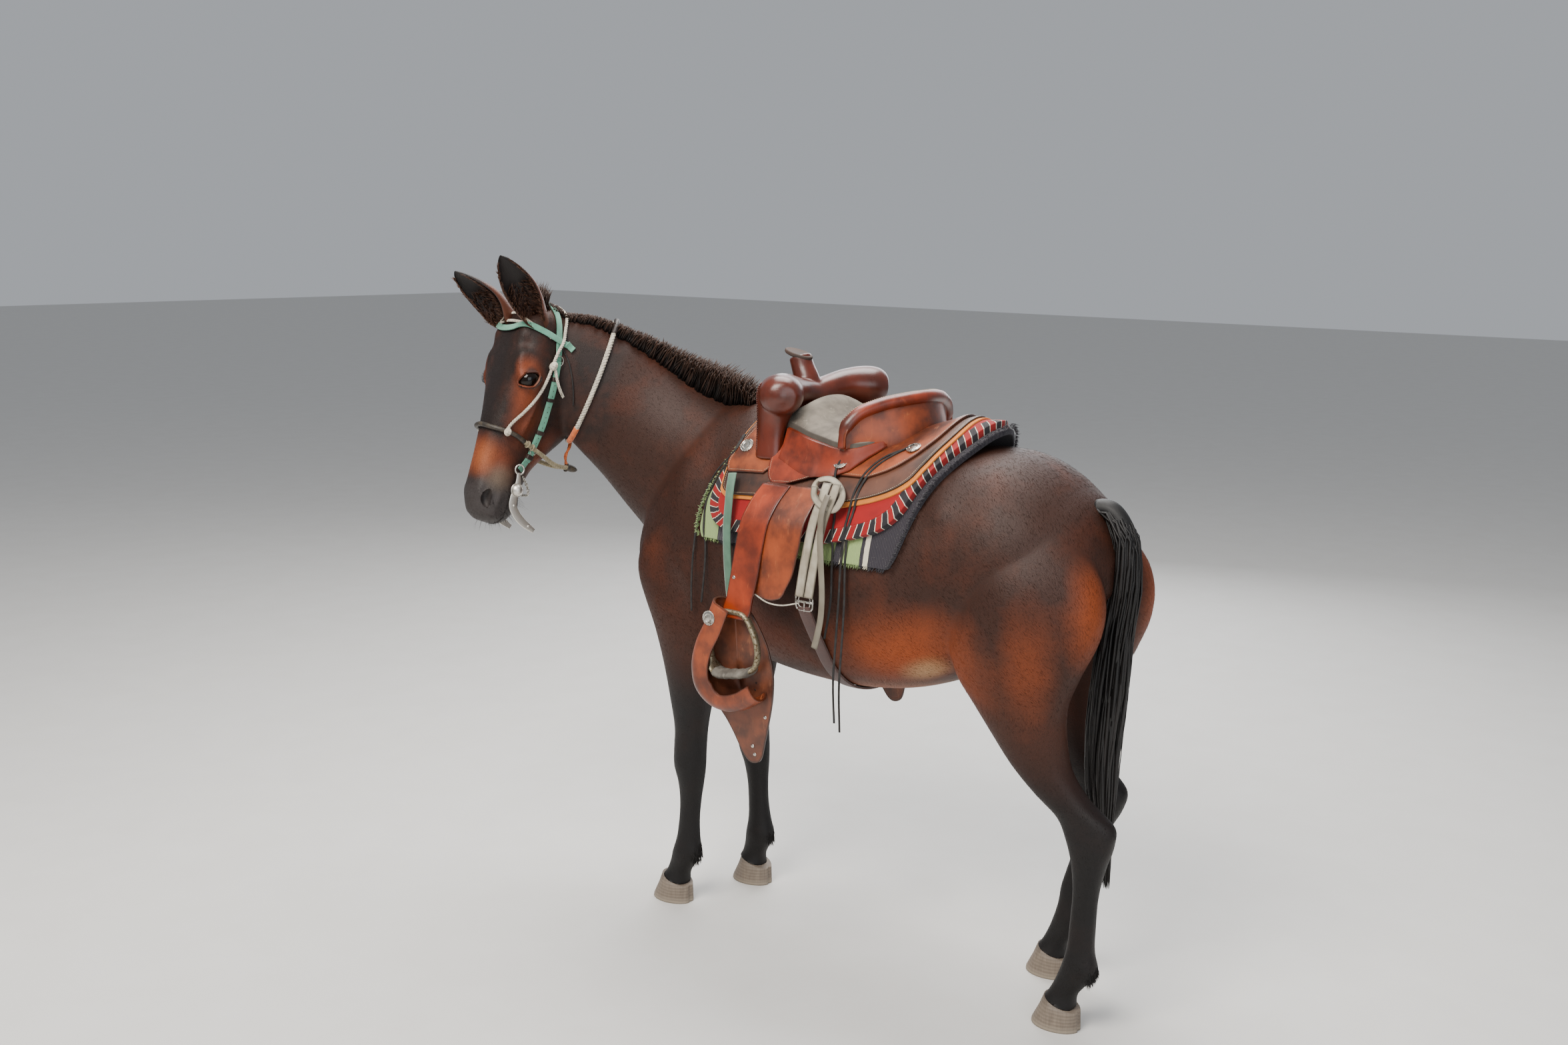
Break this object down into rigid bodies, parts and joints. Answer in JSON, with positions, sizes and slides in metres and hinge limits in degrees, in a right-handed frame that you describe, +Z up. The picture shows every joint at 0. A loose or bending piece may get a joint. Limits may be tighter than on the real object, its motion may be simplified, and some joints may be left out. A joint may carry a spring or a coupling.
{
  "type": "saddled mule figure",
  "caption": "Life-size standing mule with its head turned to the left, in a western saddle with hooded stirrups and a webbing bridle.",
  "frame": {"origin": "middle of the whole figure's footprint box, on the floor", "axes": "+Z up; the mule's body faces -Y; its left side, the side the head turns to, is +X"},
  "size_m": [0.8789, 1.8224, 1.7768],
  "materials": {
    "blanket": "charcoal, light green and white stripes",
    "coat": "short near-black brown hair, orange tan at the muzzle, eyes and flank",
    "eye": "wet dark brown",
    "felt": "red felt with a striped binding",
    "green_webbing": "green webbing",
    "hair": "coarse black hair",
    "hood_leather": "dusty orange brown",
    "horn": "grey-brown hoof horn",
    "leather": "worn chestnut saddle leather",
    "oiled_leather": "dark oiled chestnut",
    "orange_cord": "orange braided cord",
    "rawhide": "khaki and dark brown braided rawhide",
    "steel": "worn silver",
    "suede": "worn grey suede",
    "webbing": "rust brown strap",
    "white_cord": "off-white twisted cord",
    "white_strap": "white latigo",
    "worn_iron": "worn grey with yellowed patches"
  },
  "bodies": {
    "root": {"bit_left": "steel", "bit_right": "steel", "bosal": "rawhide", "brow_cord": "white_cord", "cinch": "webbing", "cinch_buckle_left": "steel", "cinch_buckle_right": "steel", "concho_front_left": "steel", "concho_front_right": "steel", "concho_mid_left": "steel", "concho_mid_right": "steel", "concho_rear_left": "steel", "concho_rear_right": "steel", "curb_chain": "steel", "ear_left": "coat", "ear_right": "coat", "eye_left": "eye", "eye_right": "eye", "fender_left": "leather", "fender_right": "leather", "fiador": "orange_cord", "front_jockey_left": "leather", "front_jockey_right": "leather", "hanger_cord": "white_cord", "head": "coat", "headstall": "green_webbing", "hoof_front_left": "horn", "hoof_front_right": "horn", "hoof_hind_left": "horn", "hoof_hind_right": "horn", "latigo_front_left": "white_strap", "latigo_front_right": "white_strap", "latigo_rear_left": "white_strap", "latigo_rear_right": "white_strap", "leg_front_left": "coat", "leg_front_right": "coat", "leg_hind_left": "coat", "leg_hind_right": "coat", "mane": "hair", "neck": "coat", "neck_rope": "white_cord", "rear_jockey": "leather", "saddle_blanket": "blanket", "saddle_cantle": "leather", "saddle_fork": "leather", "saddle_pad": "felt", "saddle_seat": "suede", "saddle_skirt": "leather", "seat_jockey_left": "leather", "seat_jockey_right": "leather", "stirrup_left": "worn_iron", "stirrup_right": "worn_iron", "stirrup_strap_left": "oiled_leather", "stirrup_strap_right": "oiled_leather", "tail": "hair", "tapadero_left": "hood_leather", "tapadero_right": "hood_leather", "torso": "coat"}
  },
  "joints": []
}
